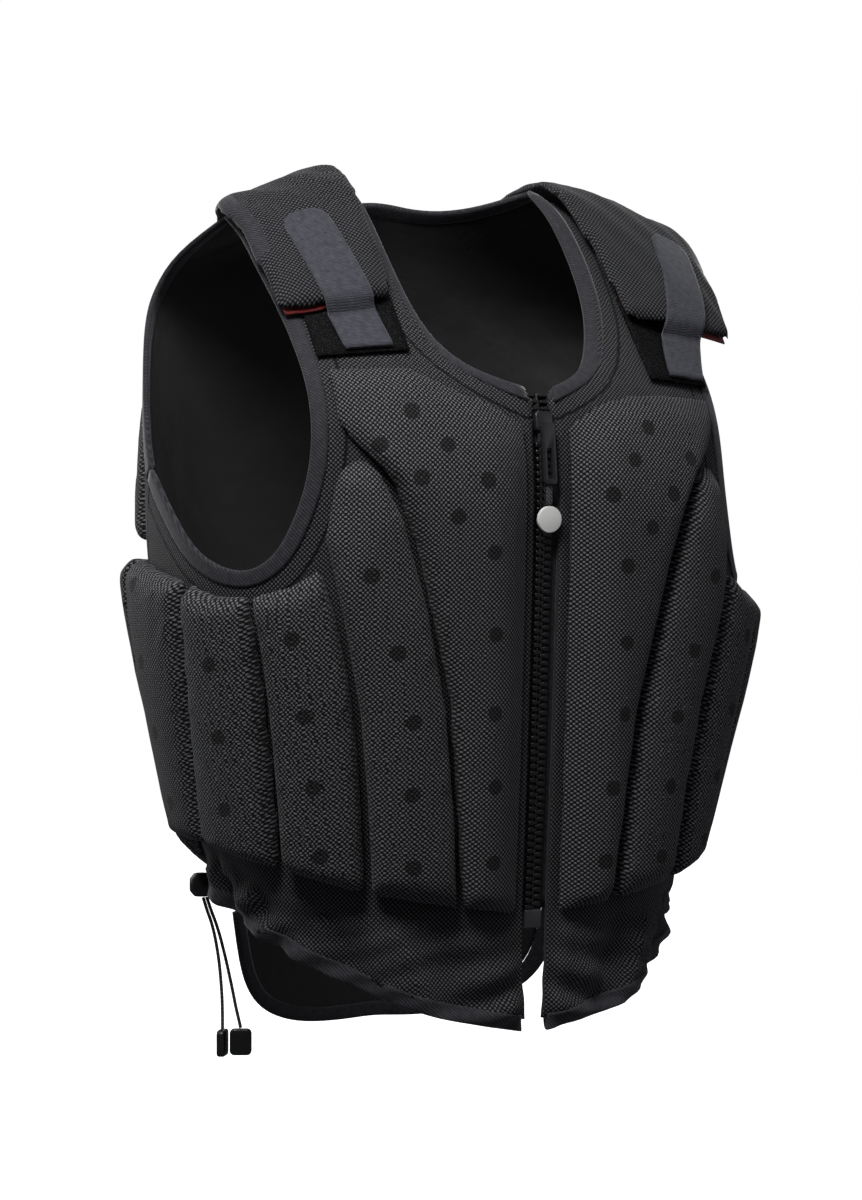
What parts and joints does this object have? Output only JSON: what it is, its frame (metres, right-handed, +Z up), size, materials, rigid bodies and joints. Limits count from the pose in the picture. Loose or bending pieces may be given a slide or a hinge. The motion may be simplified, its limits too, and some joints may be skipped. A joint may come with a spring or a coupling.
{
  "type": "equestrian body protector",
  "caption": "Zipped riding body protector of foam pads under dark mesh, with padded shoulder flaps, grey closing tabs, bound edges and a longer tail, in its worn form.",
  "frame": {"origin": "where the lining rests on the middle of the shoulders, midway between them", "axes": "+Z up, +X to the wearer's left, -Y out of the chest"},
  "size_m": [0.4194, 0.3057, 0.5681],
  "materials": {
    "mesh": "open knitted mesh over foam",
    "channel_cloth": "plain dark lining and felt",
    "binding": "knitted tape",
    "webbing": "woven hook-and-loop tape",
    "facing": "plain woven",
    "moulded": "moulded, satin",
    "disc": "moulded, smooth",
    "cord": "braided"
  },
  "bodies": {
    "root": {"shell_front_right": "channel_cloth", "shell_front_left": "channel_cloth", "shell_back": "channel_cloth", "shell_tail": "channel_cloth", "hem_binding_front_right": "binding", "hem_binding_front_left": "binding", "hem_binding_back_right": "binding", "hem_binding_back_left": "binding", "neck_binding_front_right": "binding", "neck_binding_front_left": "binding", "armhole_binding_front_right": "binding", "armhole_binding_front_left": "binding", "armhole_binding_back_right": "binding", "armhole_binding_back_left": "binding", "neck_binding_back": "binding", "tail_binding": "binding", "pad_chest_right": "mesh", "pad_chest_left": "mesh", "pad_rib_right": "mesh", "pad_rib_left": "mesh", "pad_flank_right": "mesh", "pad_flank_left": "mesh", "pad_side_right": "mesh", "pad_side_left": "mesh", "pad_wing_right": "mesh", "pad_wing_left": "mesh", "pad_back_side_right": "mesh", "pad_back_side_left": "mesh", "pad_back_waist_right": "mesh", "pad_back_waist_left": "mesh", "pad_blade_right": "mesh", "pad_blade_left": "mesh", "pad_spine": "mesh", "pad_tail": "mesh", "shoulder_flap_right": "mesh", "shoulder_flap_left": "mesh", "flap_facing_right": "facing", "flap_facing_left": "facing", "hook_patch_right": "webbing", "hook_patch_left": "webbing", "shoulder_tab_right": "webbing", "shoulder_tab_left": "webbing", "zip_tape_right": "channel_cloth", "zip_tape_left": "channel_cloth", "zip_open_teeth_right": "moulded", "zip_open_teeth_left": "moulded", "zip_teeth": "moulded", "zip_slider": "moulded", "zip_puller": "moulded", "zip_box": "moulded", "cord_lock": "moulded", "cord_end_front": "moulded", "cord_end_back": "moulded", "zip_link": "cord", "zip_disc": "disc", "drawcord_front": "cord", "drawcord_back": "cord"}
  },
  "joints": []
}
